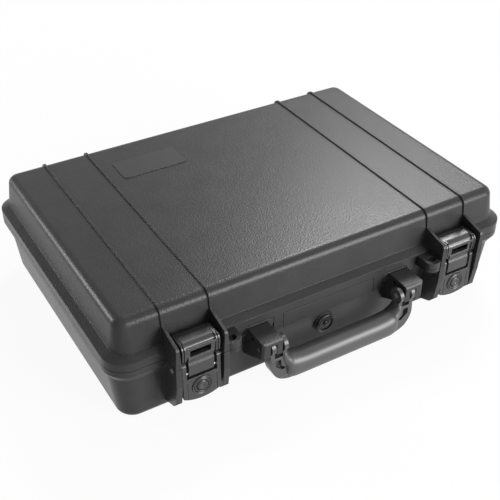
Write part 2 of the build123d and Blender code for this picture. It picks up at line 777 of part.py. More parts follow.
with BuildPart() as handle_frame:
    with BuildSketch(front_plane(handle_pin_y)) as handle_face:
        frame_top = handle_pin_z + ear_radius + 1
        with Locations((0, (frame_top + grip_bottom) / 2)):
            Rectangle(2 * ear_outer_x, frame_top - grip_bottom)
        fillet(handle_face.vertices().group_by(Axis.Y)[0], elbow_radius)
    extrude(amount=ear_radius, both=True)
    # the opening for the fingers, and the seat of the grip on the bar below it
    with BuildSketch(front_plane(handle_pin_y)) as finger_opening:
        with Locations((0, (frame_top + grip_top + 2) / 2)):
            Rectangle(2 * inner_ear_inner_x, frame_top - grip_top + 2)
        fillet(finger_opening.vertices().group_by(Axis.Y)[0], crook_radius)
        for level in (grip_top, grip_bottom):
            with Locations((0, level)):
                Rectangle(2 * grip_half_length, grip_height - bar_height)
    extrude(amount=ear_radius, both=True, mode=Mode.SUBTRACT)
    # round ears and slimmer arms, seen from the side
    with BuildSketch(side_plane(-ear_outer_x - 1)):
        with Locations((-handle_pin_y, handle_pin_z)):
            Circle(ear_radius)
        half_outline = [
            (arm_half_depth, handle_pin_z),
            (arm_half_depth, web_top),
            (elbow_half_depth, web_foot - 3),
            (elbow_half_depth, grip_bottom + 7),
            (elbow_foot_half_depth, grip_bottom - 0.1),
        ]
        outline = [(-handle_pin_y - depth, height) for depth, height in half_outline]
        outline += [(-handle_pin_y + depth, height) for depth, height in reversed(half_outline)]
        Polygon(*outline, align=None)
    extrude(amount=2 * ear_outer_x + 2, mode=Mode.INTERSECT)
    # gaps for the inner prongs, and the pockets in the elbows with a web left between
    for side in (-1, 1):
        prong_gap = ear_inner_x - inner_ear_outer_x
        gap_middle = side * (ear_inner_x + inner_ear_outer_x) / 2
        with BuildSketch(front_plane(handle_pin_y)):
            with Locations((gap_middle, (web_top + frame_top) / 2)):
                Rectangle(prong_gap, frame_top - web_top)
        extrude(amount=ear_radius + 1, both=True, mode=Mode.SUBTRACT)
        with BuildSketch(front_plane(handle_pin_y + 1)):
            with Locations((gap_middle, web_foot + web_height)):
                Rectangle(prong_gap, 2 * web_height)
        extrude(amount=-20, mode=Mode.SUBTRACT)
        for way in (-1, 1):
            with BuildSketch(front_plane(handle_pin_y + way * pocket_wall / 2)) as pocket:
                pocket_points = [
                    (ear_outer_x - 4.6, web_foot),
                    (inner_ear_outer_x + 2.0, web_foot),
                    (inner_ear_outer_x + 1.6, web_foot - 7),
                    (inner_ear_outer_x - 3.4, web_foot - 11),
                    (inner_ear_outer_x + 0.2, web_foot - 12.5),
                    (ear_outer_x - 4.6, web_foot - 6),
                ]
                Polygon(*[(side * x, height) for x, height in pocket_points], align=None)
                fillet(pocket.vertices(), 1.0)
            extrude(amount=way * 2 * ear_radius, mode=Mode.SUBTRACT)
    with BuildSketch(side_plane(-ear_outer_x - 1)):
        with Locations((-handle_pin_y, handle_pin_z)):
            Circle(handle_pin_radius + running_fit)
    extrude(amount=2 * ear_outer_x + 2, mode=Mode.SUBTRACT)
handle_frame.part.label = "handle_frame"

with BuildPart() as handle_grip:
    with BuildSketch(side_plane(-grip_half_length)):
        with Locations((-handle_pin_y, grip_z)):
            RectangleRounded(grip_depth, grip_height, grip_depth / 2 - 0.6)
    extrude(amount=2 * grip_half_length)
    for end in (0, -1):
        chamfer(handle_grip.edges().group_by(Axis.X)[end], grip_end_chamfer)
    add(handle_frame.part, mode=Mode.SUBTRACT)
handle_grip.part.label = "handle_grip"


# ===========================================================================================
# double-throw latch: lever in the base fins, hook carried by the lever
# ===========================================================================================
arm_middle = lever_half_width - arm_thickness / 2


def lever_face(middle):
    """Front outline of the lever: a panel with a curved foot and two arms beside the hook."""
    foot_corner = lever_foot_z + lever_foot_rise
    arm_inner = lever_half_width - arm_thickness
    arm_top = pivot_z + lever_ear_radius
    with BuildSketch() as face:
        with BuildLine():
            Polyline(
                (middle - lever_half_width, foot_corner),
                (middle - lever_half_width, arm_top),
                (middle - arm_inner, arm_top),
                (middle - arm_inner, lever_top_z),
                (middle + arm_inner, lever_top_z),
                (middle + arm_inner, arm_top),
                (middle + lever_half_width, arm_top),
                (middle + lever_half_width, foot_corner),
            )
            ThreePointArc(
                (middle + lever_half_width, foot_corner),
                (middle, lever_foot_z),
                (middle - lever_half_width, foot_corner),
            )
        make_face()
        fillet(face.vertices().group_by(Axis.Y)[0], 2.5)
    return face.sketch


def lever_side():
    """Side outline of the lever's cheeks: both pivots, and a rim down the panel's edge."""
    with BuildSketch() as outline:
        with Locations((-pivot_y, pivot_z)):
            Circle(lever_ear_radius)
        with BuildLine():
            Polyline(
                (-face_y, pivot_z),
                (-pivot_y + lever_ear_radius, pivot_z),
                (-hook_pin_y + 5.6, hook_pin_z - 4),
                (-face_y + lever_plate + 2, lever_foot_z + lever_foot_rise + 2),
                (-face_y, lever_foot_z + lever_foot_rise),
                close=True,
            )
        make_face()
        # flush with the panel in front
        with Locations((-face_y - 5, pivot_z)):
            Rectangle(10, 4 * lever_ear_radius, mode=Mode.SUBTRACT)
    return outline.sketch


def lever_part(side):
    """Lever: a panel with a ring boss, and two cheeks that carry both pivots."""
    middle = side * bay_x
    with BuildPart() as lever:
        with BuildSketch(front_plane(face_y - lever_plate)):
            add(lever_face(middle))
        extrude(amount=lever_plate)
        # the arms end in the round of their ears
        for cheek in (-1, 1):
            start = middle + cheek * arm_middle - arm_thickness / 2
            with BuildSketch(side_plane(start - 0.5)):
                with Locations((-pivot_y, pivot_z + lever_ear_radius)):
                    Rectangle(4 * lever_ear_radius, 2 * lever_ear_radius)
                with Locations((-pivot_y, pivot_z)):
                    Circle(lever_ear_radius, mode=Mode.SUBTRACT)
            extrude(amount=arm_thickness + 1, mode=Mode.SUBTRACT)
            with BuildSketch(side_plane(start)):
                add(lever_side())
            extrude(amount=arm_thickness)
        # fine grooves between the panel and its rims
        with BuildSketch(front_plane(face_y - 0.4)):
            for edge in (-1, 1):
                groove_x = middle + edge * (lever_half_width - arm_thickness - 0.3)
                with Locations((groove_x, (lever_top_z + lever_foot_z) / 2)):
                    Rectangle(0.6, lever_top_z - lever_foot_z - 8)
        extrude(amount=1, mode=Mode.SUBTRACT)
        with BuildSketch(side_plane(middle - lever_half_width - 1)):
            with Locations((-pivot_y, pivot_z)):
                Circle(pivot_pin_radius + running_fit)
            with Locations((-hook_pin_y, hook_pin_z)):
                Circle(hook_pin_radius + seat_fit)
        extrude(amount=2 * lever_half_width + 2, mode=Mode.SUBTRACT)
    return lever.part


def hook_outline(lower):
    """Side outline of the hook's cap; lower sets the face and the top back by that much."""
    with BuildSketch() as outline:
        with BuildLine():
            Polyline(
                (-face_y + lower, shoulder_z),
                (-face_y - 0.8 + lower, hook_top_z - 9),
                (-face_y - 0.8 + lower, hook_top_z - lower),
                (-lip_end_y - 5.0, hook_top_z + 0.3 - lower),
                (-lip_end_y, hook_top_z - 0.9 - lower * 0.6),
                (-lip_end_y, catch_z + lip_gap),
                (-hook_back_y, catch_z + lip_gap),
                (-hook_back_y, shoulder_z),
                close=True,
            )
        make_face()
        crown = outline.vertices().filter_by(lambda v: v.X < -face_y + 2 and v.Y > hook_top_z - 3)
        fillet(crown, hook_crown)
    return outline.sketch


def hook_part(side):
    """Hook: a railed cap with a window, and a narrow tongue down to its pivot."""
    middle = side * bay_x
    plate_back = face_y - rail_height - hook_plate
    with BuildPart() as hook:
        with BuildSketch(side_plane(middle - hook_half_width)):
            add(hook_outline(rail_height))
        extrude(amount=2 * hook_half_width)
        outer_rail = hook_half_width - rail_width
        inner_rail = outer_rail - rail_groove - rail_width
        for start in (outer_rail, inner_rail, -hook_half_width, -inner_rail - rail_width):
            with BuildSketch(side_plane(middle + start)):
                add(hook_outline(0))
            extrude(amount=rail_width)
        # a brow over the window, and the top arched across its width
        with BuildSketch(front_plane(face_y - rail_height - 1)):
            with Locations((middle, window_z + window_height / 2 + brow_height / 2)):
                Rectangle(2 * inner_rail, brow_height)
        extrude(amount=rail_height + 1.6)
        with BuildSketch(front_plane(lip_end_y - 2)) as arched:
            side_top = hook_top_z + 0.3 - hook_arch
            corners = (middle - hook_half_width, middle + hook_half_width)
            with BuildLine():
                Polyline(
                    (corners[0], side_top),
                    (corners[0], hook_pin_z),
                    (corners[1], hook_pin_z),
                    (corners[1], side_top),
                )
                ThreePointArc(
                    (corners[1], side_top), (middle, hook_top_z + 0.3), (corners[0], side_top)
                )
            make_face()
        extrude(amount=face_y - lip_end_y + 6, mode=Mode.INTERSECT)
        # tongue: flush with the lever's face, wrapped round the pivot
        with BuildSketch(side_plane(middle - tongue_half_width)):
            with BuildLine():
                Polyline(
                    (-face_y, tongue_foot_z),
                    (-face_y, tongue_foot_z + 9.0),
                    (-face_y + tongue_groove, tongue_foot_z + 11.5),
                    (-face_y + tongue_groove, tongue_foot_z + 13.5),
                    (-face_y, shoulder_z),
                    (-face_y, shoulder_z + 2),
                    (-face_y + rail_height, shoulder_z + 3),
                    (-plate_back, shoulder_z + 3),
                    (-plate_back, shoulder_z - 4),
                    (-hook_pin_y + hook_knuckle_radius, hook_pin_z + 4),
                    (-hook_pin_y + hook_knuckle_radius, hook_pin_z),
                    (-hook_pin_y, hook_pin_z),
                    close=True,
                )
            make_face()
            with Locations((-hook_pin_y, hook_pin_z)):
                Circle(hook_knuckle_radius)
        extrude(amount=2 * tongue_half_width)
        # hollow back, open below, and the window in the face
        with BuildSketch(front_plane(hook_back_y - 1)):
            with Locations((middle, shoulder_z + 4.5)):
                Rectangle(2 * (hook_half_width - 3.0), 12.0)
        extrude(amount=plate_back - hook_back_y + 1, mode=Mode.SUBTRACT)
        with BuildSketch(front_plane(hook_back_y)):
            with Locations((middle, window_z)):
                Rectangle(window_width, window_height)
        extrude(amount=20, mode=Mode.SUBTRACT)
        with BuildSketch(side_plane(middle - hook_half_width - 1)):
            with Locations((-hook_pin_y, hook_pin_z)):
                Circle(hook_pin_radius + running_fit)
        extrude(amount=2 * hook_half_width + 2, mode=Mode.SUBTRACT)
    return hook.part


def pivot_pins_part(side):
    """The two stub pins on which a lever turns, one in each fin."""
    start = lever_half_width - arm_thickness + 0.3
    end = fin_pitch / 2 + fin_thickness / 2 + 0.4
    with BuildPart() as pins:
        for way in (-1, 1):
            near = side * bay_x + (start if way > 0 else -end)
            with BuildSketch(side_plane(near)):
                with Locations((-pivot_y, pivot_z)):
                    Circle(pivot_pin_radius)
            extrude(amount=end - start)
    return pins.part


def hook_pin_part(side):
    length = 2 * lever_half_width - 1.0
    with BuildPart() as pin:
        with BuildSketch(side_plane(side * bay_x - length / 2)):
            with Locations((-hook_pin_y, hook_pin_z)):
                Circle(hook_pin_radius)
        extrude(amount=length)
    return pin.part


# ===========================================================================================
# write the pieces
# ===========================================================================================
pieces = {
    "base_shell": base_shell.part,
    "lid_shell": lid_complete.part,
    "lid_seal": lid_seal.part,
    "nameplate": nameplate.part,
    "base_pad": base_pad.part,
    "base_foam": base_foam.part,
    "lid_foam": lid_foam.part,
    "valve_body": valve_body.part,
    "valve_seal": valve_seal.part,
    "valve_membrane": valve_membrane.part,
    "valve_nut": valve_nut.part,
    "handle_frame": handle_frame.part,
    "handle_grip": handle_grip.part,
}
for name, side in sides.items():
    pieces[f"base_eye_{name}"] = padlock_eye_part(
        side, base_top_z - base_eye_thickness, base_eye_thickness, base_shell.part
    )
    pieces[f"lid_eye_{name}"] = padlock_eye_part(
        side, lid_bottom_z, lid_eye_thickness, lid_complete.part
    )
    pieces[f"hinge_pin_{name}"] = hinge_pin_part(side)
    pieces[f"handle_pin_{name}"] = handle_pin_part(side)
    pieces[f"latch_lever_{name}"] = lever_part(side)
    pieces[f"latch_hook_{name}"] = hook_part(side)
    pieces[f"latch_pivot_pins_{name}"] = pivot_pins_part(side)
    pieces[f"latch_hook_pin_{name}"] = hook_pin_part(side)

os.makedirs("parts", exist_ok=True)
for name, piece in pieces.items():
    piece.label = name
    export_step(piece, f"parts/{name}.step")
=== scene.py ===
from math import cos, hypot, pi, radians, sin, tan

import bmesh
import bpy
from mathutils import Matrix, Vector


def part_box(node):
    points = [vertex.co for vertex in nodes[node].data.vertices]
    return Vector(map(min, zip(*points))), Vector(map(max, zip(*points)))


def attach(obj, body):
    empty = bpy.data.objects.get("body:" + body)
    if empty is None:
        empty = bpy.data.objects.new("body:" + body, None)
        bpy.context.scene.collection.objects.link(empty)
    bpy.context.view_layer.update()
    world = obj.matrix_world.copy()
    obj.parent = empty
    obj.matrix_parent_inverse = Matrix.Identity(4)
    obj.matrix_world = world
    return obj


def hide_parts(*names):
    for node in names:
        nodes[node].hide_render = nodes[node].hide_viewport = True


# A hard laptop case lying flat, handle and latches in front. Metres and +Z up, in the frame's
# own axes: -Y is the front, +X the right side.

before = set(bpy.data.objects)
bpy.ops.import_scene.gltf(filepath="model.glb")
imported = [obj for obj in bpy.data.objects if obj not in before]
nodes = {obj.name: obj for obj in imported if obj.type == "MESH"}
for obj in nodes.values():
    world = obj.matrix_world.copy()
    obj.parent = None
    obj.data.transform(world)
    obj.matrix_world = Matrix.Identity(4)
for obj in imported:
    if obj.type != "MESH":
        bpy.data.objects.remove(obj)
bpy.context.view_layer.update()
mm = 0.001

# sizes that the foam and the fittings take from the shells
tray_draft = tan(radians(6.0))
lid_draft = tan(radians(8.0))
tray_slope_top = 50.0 * mm       # the tray's walls stand straight above this
lid_shoulder_foot = 72.2 * mm    # the lid's sloping shoulder starts just above this
lid_wall_foot = 76.0 * mm        # and ends here, where the lid's walls start
valve_height = 29.0 * mm


# ===========================================================================================
# finishes: a small kit for node materials
# ===========================================================================================
class Value:
    """A node's output; arithmetic on it adds Math nodes."""

    def __init__(self, finish, socket):
        self.finish = finish
        self.socket = socket

    def math(self, operation, first, second):
        return self.finish.node("ShaderNodeMath", {"operation": operation}, {0: first, 1: second})

    def __add__(self, other):
        return self.math("ADD", self, other)

    def __radd__(self, other):
        return self.math("ADD", other, self)

    def __sub__(self, other):
        return self.math("SUBTRACT", self, other)

    def __rsub__(self, other):
        return self.math("SUBTRACT", other, self)

    def __mul__(self, other):
        return self.math("MULTIPLY", self, other)

    def __rmul__(self, other):
        return self.math("MULTIPLY", other, self)


class Finish:
    """One material or world. node() adds every node, its settings before its sockets."""

    def __init__(self, name, kind="materials"):
        self.owner = getattr(bpy.data, kind).new(name)
        self.owner.use_nodes = True
        self.tree = self.owner.node_tree
        self.tree.nodes.clear()

    def node(self, kind, settings=None, sockets=None, output=0):
        """Adds a node and returns one of its outputs as a value, if it has any."""
        made = self.tree.nodes.new(kind)
        for key, setting in (settings or {}).items():
            if key == "stops":
                ramp = made.color_ramp
                while len(ramp.elements) < len(setting):
                    ramp.elements.new(0.5)
                for element, (position, shade) in zip(ramp.elements, setting):
                    element.position = position
                    element.color = (shade, shade, shade, 1.0)
            else:
                setattr(made, key, setting)
        for key, source in (sockets or {}).items():
            target = made.inputs[key]
            if isinstance(source, Value):
                self.tree.links.new(source.socket, target)
            else:
                target.default_value = source
        return Value(self, made.outputs[output]) if made.outputs else None

    def place(self):
        """Where a point is on the piece, in metres."""
        return self.node("ShaderNodeTexCoord", output="Object")

    def axis(self, name):
        """One coordinate of that place."""
        return self.node("ShaderNodeSeparateXYZ", None, {0: self.place()}, output=name)

    def noise(self, scale, detail, roughness=0.5, stretch=(1.0, 1.0, 1.0)):
        spread = self.node("ShaderNodeMapping", None, {"Vector": self.place(), "Scale": stretch})
        return self.node("ShaderNodeTexNoise", None,
                         {"Vector": spread, "Scale": scale, "Detail": detail,
                          "Roughness": roughness})

    def cells(self, scale, smoothness, randomness=1.0):
        return self.node("ShaderNodeTexVoronoi", {"feature": "SMOOTH_F1"},
                         {"Vector": self.place(), "Scale": scale, "Smoothness": smoothness,
                          "Randomness": randomness}, output="Distance")

    def ramp(self, value, *stops):
        """A grey value read off between stops of (position, shade)."""
        return self.node("ShaderNodeValToRGB", {"stops": stops}, {"Fac": value})

    def between(self, factor, low, high):
        """A colour that goes from low to high with a factor."""
        return self.node("ShaderNodeMix", {"data_type": "RGBA"},
                         {"Factor": factor, 6: (*low, 1.0), 7: (*high, 1.0)}, output=2)

    def rounded_edge(self, radius):
        """The normal with the moulding's small edge rounding."""
        return self.node("ShaderNodeBevel", {"samples": 6}, {"Radius": radius})

    def bump(self, height, distance, strength, normal=None):
        """The normal with a relief on it, on top of another normal if one is given."""
        sockets = {"Height": height, "Distance": distance, "Strength": strength}
        if normal:
            sockets["Normal"] = normal
        return self.node("ShaderNodeBump", None, sockets)

    def seen(self):
        """1 where the camera looks straight at a surface, in a mirror or through glass."""
        rays = [self.node("ShaderNodeLightPath", output=f"Is {ray} Ray")
                for ray in ("Camera", "Glossy", "Transmission")]
        return rays[0] + rays[1] + rays[2]

    def surface(self, **sockets):
        """Ends the material with its shader, whose sockets are given as base_color and so on."""
        names = {key.replace("_", " ").title().replace("Ior", "IOR"): value
                 for key, value in sockets.items()}
        shader = self.node("ShaderNodeBsdfPrincipled", None, names)
        self.node("ShaderNodeOutputMaterial", None, {"Surface": shader})
        return self.owner


def case_plastic():
    """Black polypropylene with a moulded leather grain, coarser on the lid's shoulder."""
    look = Finish("case_plastic")
    height = look.axis("Z")
    grain = look.cells(620.0, smoothness=0.35)
    fine = look.noise(1500.0, detail=2.0)
    streaks = look.noise(240.0, detail=4.0, roughness=0.6, stretch=(1.0, 0.45, 1.0))
    # 0 at the shoulder's foot and just under 0.9 at its top
    shoulder = (height - lid_shoulder_foot) * 230.0
    coarse = look.ramp(shoulder, (0.0, 0.0), (0.12, 1.0), (0.82, 1.0), (0.95, 0.0))
    relief = grain * 0.9 + fine * 0.35 + streaks * 0.7
    relief = relief * (coarse * 0.9 + 1.0)
    mottle = look.noise(38.0, detail=5.0, roughness=0.6)
    tone = look.between(mottle, (0.023, 0.023, 0.0235), (0.038, 0.038, 0.0375))
    normal = look.bump(relief, 0.14 * mm, 0.8, look.rounded_edge(0.7 * mm))
    return look.surface(base_color=tone, roughness=mottle * 0.09 + 0.265, specular_ior_level=0.2,
                        normal=normal)


def latch_plastic():
    """Smoother black plastic of the latches, with a slight orange peel."""
    look = Finish("latch_plastic")
    peel = look.noise(420.0, detail=2.0)
    wear = look.noise(60.0, detail=6.0, roughness=0.65)
    tone = look.between(wear, (0.020, 0.020, 0.0205), (0.036, 0.036, 0.036))
    normal = look.bump(peel, 0.015 * mm, 0.5, look.rounded_edge(0.5 * mm))
    return look.surface(base_color=tone, roughness=wear * 0.12 + 0.20, normal=normal)


def handle_plastic():
    """Satin black nylon of the handle's frame."""
    look = Finish("handle_plastic")
    grain = look.cells(1100.0, smoothness=0.4)
    wear = look.noise(55.0, detail=5.0)
    tone = look.between(wear, (0.038, 0.038, 0.039), (0.058, 0.058, 0.058))
    normal = look.bump(grain, 0.05 * mm, 0.6, look.rounded_edge(0.6 * mm))
    return look.surface(base_color=tone, roughness=wear * 0.14 + 0.28, normal=normal)


def grip_rubber():
    """Soft satin overmould of the grip, a shade lighter than the frame."""
    look = Finish("grip_rubber")
    grain = look.cells(1400.0, smoothness=0.5)
    rub = look.noise(30.0, detail=5.0, stretch=(0.35, 1.0, 1.0))
    tone = look.between(rub, (0.046, 0.046, 0.046), (0.064, 0.064, 0.063))
    normal = look.bump(grain, 0.04 * mm, 0.5, look.rounded_edge(0.6 * mm))
    return look.surface(base_color=tone, roughness=rub * 0.12 + 0.34, normal=normal)


def plate_lacquer():
    """Bare nameplate: dark satin lacquer with fine brushing along its length."""
    look = Finish("plate_lacquer")
    brushing = look.noise(900.0, detail=3.0, stretch=(0.04, 1.0, 1.0))
    cloud = look.noise(45.0, detail=3.0)
    tone = look.between(cloud, (0.020, 0.020, 0.021), (0.034, 0.034, 0.035))
    normal = look.bump(brushing, 0.02 * mm, 0.5, look.rounded_edge(0.35 * mm))
    return look.surface(base_color=tone, roughness=brushing * 0.12 + 0.30, specular_ior_level=0.25,
                        normal=normal)


def pin_steel():
    """Turned stainless steel."""
    look = Finish("pin_steel")
    turning = look.noise(1800.0, detail=2.0, stretch=(1.0, 0.1, 0.1))
    stain = look.noise(90.0, detail=4.0)
    tone = look.between(stain, (0.46, 0.46, 0.47), (0.62, 0.62, 0.63))
    normal = look.bump(turning, 0.02 * mm, 0.5, look.rounded_edge(0.2 * mm))
    return look.surface(base_color=tone, metallic=1.0, roughness=stain * 0.15 + 0.22,
                        normal=normal)


def seal_rubber():
    """Matt black rubber cord."""
    look = Finish("seal_rubber")
    pores = look.noise(1600.0, detail=3.0)
    bloom = look.noise(70.0, detail=4.0)
    tone = look.between(bloom, (0.014, 0.014, 0.014), (0.028, 0.028, 0.029))
    normal = look.bump(pores, 0.06 * mm, 0.6)
    return look.surface(base_color=tone, roughness=bloom * 0.15 + 0.62, specular_ior_level=0.3,
                        normal=normal)


def valve_plastic():
    """Glossier black plastic of the vent valve."""
    look = Finish("valve_plastic")
    peel = look.noise(900.0, detail=2.0)
    cloud = look.noise(80.0, detail=3.0)
    tone = look.between(cloud, (0.010, 0.010, 0.010), (0.018, 0.018, 0.018))
    normal = look.bump(peel, 0.03 * mm, 0.5, look.rounded_edge(0.3 * mm))
    return look.surface(base_color=tone, roughness=cloud * 0.12 + 0.20, normal=normal)


def vent_membrane():
    """Pale woven breather disc behind the valve's bore."""
    look = Finish("vent_membrane")
    weave = look.cells(3000.0, smoothness=0.3, randomness=0.3)
    cloud = look.noise(400.0, detail=3.0)
    tone = look.between(cloud, (0.50, 0.50, 0.49), (0.66, 0.66, 0.65))
    normal = look.bump(weave, 0.05 * mm, 0.7)
    return look.surface(base_color=tone, roughness=cloud * 0.2 + 0.6, normal=normal)


def cell_foam():
    """Charcoal open-cell foam: paler struts, with painted shade darkening the pores between them.
    """
    look = Finish("cell_foam")
    cells = look.cells(780.0, smoothness=0.15)
    small = look.cells(1900.0, smoothness=0.2)
    cloud = look.noise(25.0, detail=4.0)
    # painted shade: the pores, low in the relief, are darkened; the struts stay paler
    struts_and_pore_shade = look.ramp(cells * 0.7 + small * 0.5, (0.18, 0.0), (0.55, 1.0))
    tone = look.between(struts_and_pore_shade * 0.75 + cloud * 0.25, (0.018, 0.018, 0.020), (0.088, 0.088, 0.092))
    normal = look.bump(cells + small * 0.6, 0.5 * mm, 0.9)
    return look.surface(base_color=tone, roughness=struts_and_pore_shade * 0.08 + 0.86, normal=normal)


# ===========================================================================================
# mesh code shared by the moulded and foam pieces
# ===========================================================================================
def rounded_ring(half_x, half_y, corner, height, corner_steps=6, side_steps=None):
    """Points round a rectangle with rounded corners.

    side_steps gives the number of steps along its X sides and along its Y sides.
    """
    points = []
    centres = ((1, 1), (-1, 1), (-1, -1), (1, -1))
    for quarter, (sign_x, sign_y) in enumerate(centres):
        centre = Vector((sign_x * (half_x - corner), sign_y * (half_y - corner), height))
        for step in range(corner_steps + 1):
            angle = (quarter + step / corner_steps) * pi / 2
            points.append(centre + corner * Vector((cos(angle), sin(angle), 0.0)))
        if side_steps:
            next_x, next_y = centres[(quarter + 1) % 4]
            arrival = Vector((next_x * (half_x - corner), next_y * (half_y - corner), height))
            turn = (quarter + 1) * pi / 2
            arrival += corner * Vector((cos(turn), sin(turn), 0.0))
            count = side_steps[quarter % 2]
            start = points[-1]
            points += [start.lerp(arrival, i / count) for i in range(1, count)]
    return points


def skin(mesh, loops, closed=False):
    """Faces between loops of equal length; closed joins the last loop to the first."""
    count = len(loops[0])
    pairs = list(zip(loops, loops[1:]))
    if closed:
        pairs.append((loops[-1], loops[0]))
    for lower, upper in pairs:
        for i in range(count):
            j = (i + 1) % count
            mesh.faces.new((lower[i], lower[j], upper[j], upper[i]))


def make_piece(name, mesh, finish, body):
    """A smooth-shaded object from a finished bmesh, with its material, riding on a body."""
    bmesh.ops.recalc_face_normals(mesh, faces=mesh.faces)
    data = bpy.data.meshes.new(name)
    mesh.to_mesh(data)
    mesh.free()
    data.materials.append(finish)
    for polygon in data.polygons:
        polygon.use_smooth = True
    piece = bpy.data.objects.new(name, data)
    bpy.context.scene.collection.objects.link(piece)
    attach(piece, body)
    return piece


def turned(rows, middle, around):
    """A closed turned bmesh facing -Y; rows are its radius and height over middle, in mm."""
    mesh = bmesh.new()
    loops = []
    for radius, height in rows:
        ring = []
        for step in range(around):
            angle = 2 * pi * step / around
            ring.append(mesh.verts.new((middle[0] + radius * mm * cos(angle),
                                        middle[1] - height * mm,
                                        middle[2] + radius * mm * sin(angle))))
        loops.append(ring)
    skin(mesh, loops)
    mesh.faces.new(loops[0])
    mesh.faces.new(loops[-1])
    bmesh.ops.recalc_face_normals(mesh, faces=mesh.faces)
    return mesh


def cut_away(piece, shape):
    """Takes a closed bmesh out of a piece."""
    data = bpy.data.meshes.new("cutter")
    shape.to_mesh(data)
    shape.free()
    cutter = bpy.data.objects.new("cutter", data)
    bpy.context.scene.collection.objects.link(cutter)
    cut = piece.modifiers.new("cut", "BOOLEAN")
    cut.operation = "DIFFERENCE"
    cut.solver = "EXACT"
    cut.object = cutter
    bpy.context.view_layer.update()
    graph = bpy.context.evaluated_depsgraph_get()
    shaped = bpy.data.meshes.new_from_object(piece.evaluated_get(graph))
    piece.modifiers.clear()
    piece.data = shaped
    bpy.data.objects.remove(cutter)
    drop_crumbs(shaped)


def drop_crumbs(data):
    """Keeps the largest joined-up part of a mesh and merges its sliver faces."""
    mesh = bmesh.new()
    mesh.from_mesh(data)
    left = set(mesh.verts)
    parts = []
    while left:
        part, front = set(), [left.pop()]
        while front:
            vert = front.pop()
            part.add(vert)
            for link in vert.link_edges:
                other = link.other_vert(vert)
                if other in left:
                    left.remove(other)
                    front.append(other)
        parts.append(part)
    largest = max(parts, key=len)
    for part in parts:
        if part is not largest:
            bmesh.ops.delete(mesh, geom=list(part), context="VERTS")
    bmesh.ops.dissolve_degenerate(mesh, edges=mesh.edges, dist=0.0005 * mm)
    mesh.to_mesh(data)
    mesh.free()


def ripple(point, amount, length):
    """A slow, fixed unevenness of cut foam."""
    phase = 2 * pi / length
    wave = sin(point.x * phase + 1.3 * sin(point.y * phase * 0.7)) * cos(point.y * phase * 0.83)
    return amount * wave


def rolled(edge, turn):
    """How far a rounded edge has gone in, and how far it lies below the top, at an angle."""
    return edge * (1 - cos(radians(turn))), edge * (1 - sin(radians(turn)))


# ===========================================================================================
# foam and seal
# ===========================================================================================
def foam_plan(node):
    """Half the width and depth of a foam node, with its lowest and highest level."""
    low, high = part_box(node)
    return (high.x - low.x) / 2, (high.y - low.y) / 2, low.z, high.z


def base_pad(finish):
    """Foam sheet on the floor of the tray, with rounded edges and a slightly uneven top."""
    half_x, half_y, low, high = foam_plan("base_pad")
    corner, least_corner = 13.0 * mm, 1 * mm
    edge = 1.6 * mm
    foot_clearance = 0.2 * mm
    sink, unevenness, wave_length = 0.3 * mm, 0.25 * mm, 90 * mm
    mesh = bmesh.new()
    loops = []

    def add_loop(inset, height):
        ring = rounded_ring(half_x - inset, half_y - inset, max(corner - inset, least_corner),
                            height, side_steps=(24, 16))
        loops.append([mesh.verts.new(point) for point in ring])

    bottom_inset = (high - low) * tray_draft
    add_loop(bottom_inset + edge, low)
    add_loop(bottom_inset + foot_clearance, low + edge)
    add_loop(tray_draft * edge, high - edge)
    for turn in (30, 60, 90):
        inset, drop = rolled(edge, turn)
        add_loop(inset + tray_draft * edge, high - drop)
    base_ring = loops[-1]
    skin(mesh, loops)
    mesh.faces.new(list(reversed(loops[0])))
    # the top, drawn in towards the middle
    inner = base_ring
    for shrink in (0.94, 0.86, 0.74, 0.58, 0.4, 0.2):
        ring = []
        for vert in base_ring:
            point = Vector((vert.co.x * shrink, vert.co.y * shrink, high))
            point.z = high - sink + ripple(point, unevenness, wave_length)
            ring.append(mesh.verts.new(point))
        skin(mesh, [inner, ring])
        inner = ring
    mesh.faces.new(inner)
    return make_piece("foam_floor_pad", mesh, finish, "base")


def base_foam(finish):
    """Foam frame round the laptop's recess, with rounded edges and a pocket for the valve nut."""
    half_x, half_y, low, high = foam_plan("base_foam")
    recess_x, recess_y, recess_corner = 175.0 * mm, 114.0 * mm, 3.0 * mm
    corner = 16.5 * mm
    edge = 2.2 * mm
    edge_unevenness, top_unevenness, wave_length = 0.15 * mm, 0.3 * mm, 70 * mm
    sink = 0.2 * mm
    mesh = bmesh.new()
    loops = []

    def add_loop(ring_x, ring_y, radius, height, unevenness=0.0):
        ring = rounded_ring(ring_x, ring_y, radius, height, side_steps=(28, 18))
        waves = [Vector((0, 0, ripple(point, unevenness, wave_length))) for point in ring]
        loops.append([mesh.verts.new(point + wave) for point, wave in zip(ring, waves)])

    foot = (tray_slope_top - low) * tray_draft
    add_loop(half_x - foot, half_y - foot, corner - foot, low)
    add_loop(half_x, half_y, corner, tray_slope_top)
    add_loop(half_x, half_y, corner, high - edge)
    for turn in (30, 60, 90):
        inset, drop = rolled(edge, turn)
        add_loop(half_x - inset, half_y - inset, corner - inset, high - drop, edge_unevenness)
    middle_x, middle_y = (half_x + recess_x) / 2, (half_y + recess_y) / 2
    add_loop(middle_x, middle_y, (corner + recess_corner) / 2, high - sink, top_unevenness)
    for turn in (90, 60, 30, 0):
        outset, drop = rolled(edge, turn)
        add_loop(recess_x + outset, recess_y + outset, recess_corner + outset, high - drop,
                 edge_unevenness)
    add_loop(recess_x, recess_y, recess_corner, (high + low) / 2)
    add_loop(recess_x, recess_y, recess_corner, low)
    skin(mesh, loops, closed=True)
    piece = make_piece("foam_frame", mesh, finish, "base")
    # the pocket leaves a web of foam towards the recess; its radius and half length are in mm
    web, pocket_radius, pocket_half = 4 * mm, 12.0, 20.0
    middle = (0.0, -(recess_y + web + pocket_half * mm), valve_height)
    rows = [(pocket_radius, pocket_half), (pocket_radius, -pocket_half)]
    cut_away(piece, turned(rows, middle, 32))
    return piece


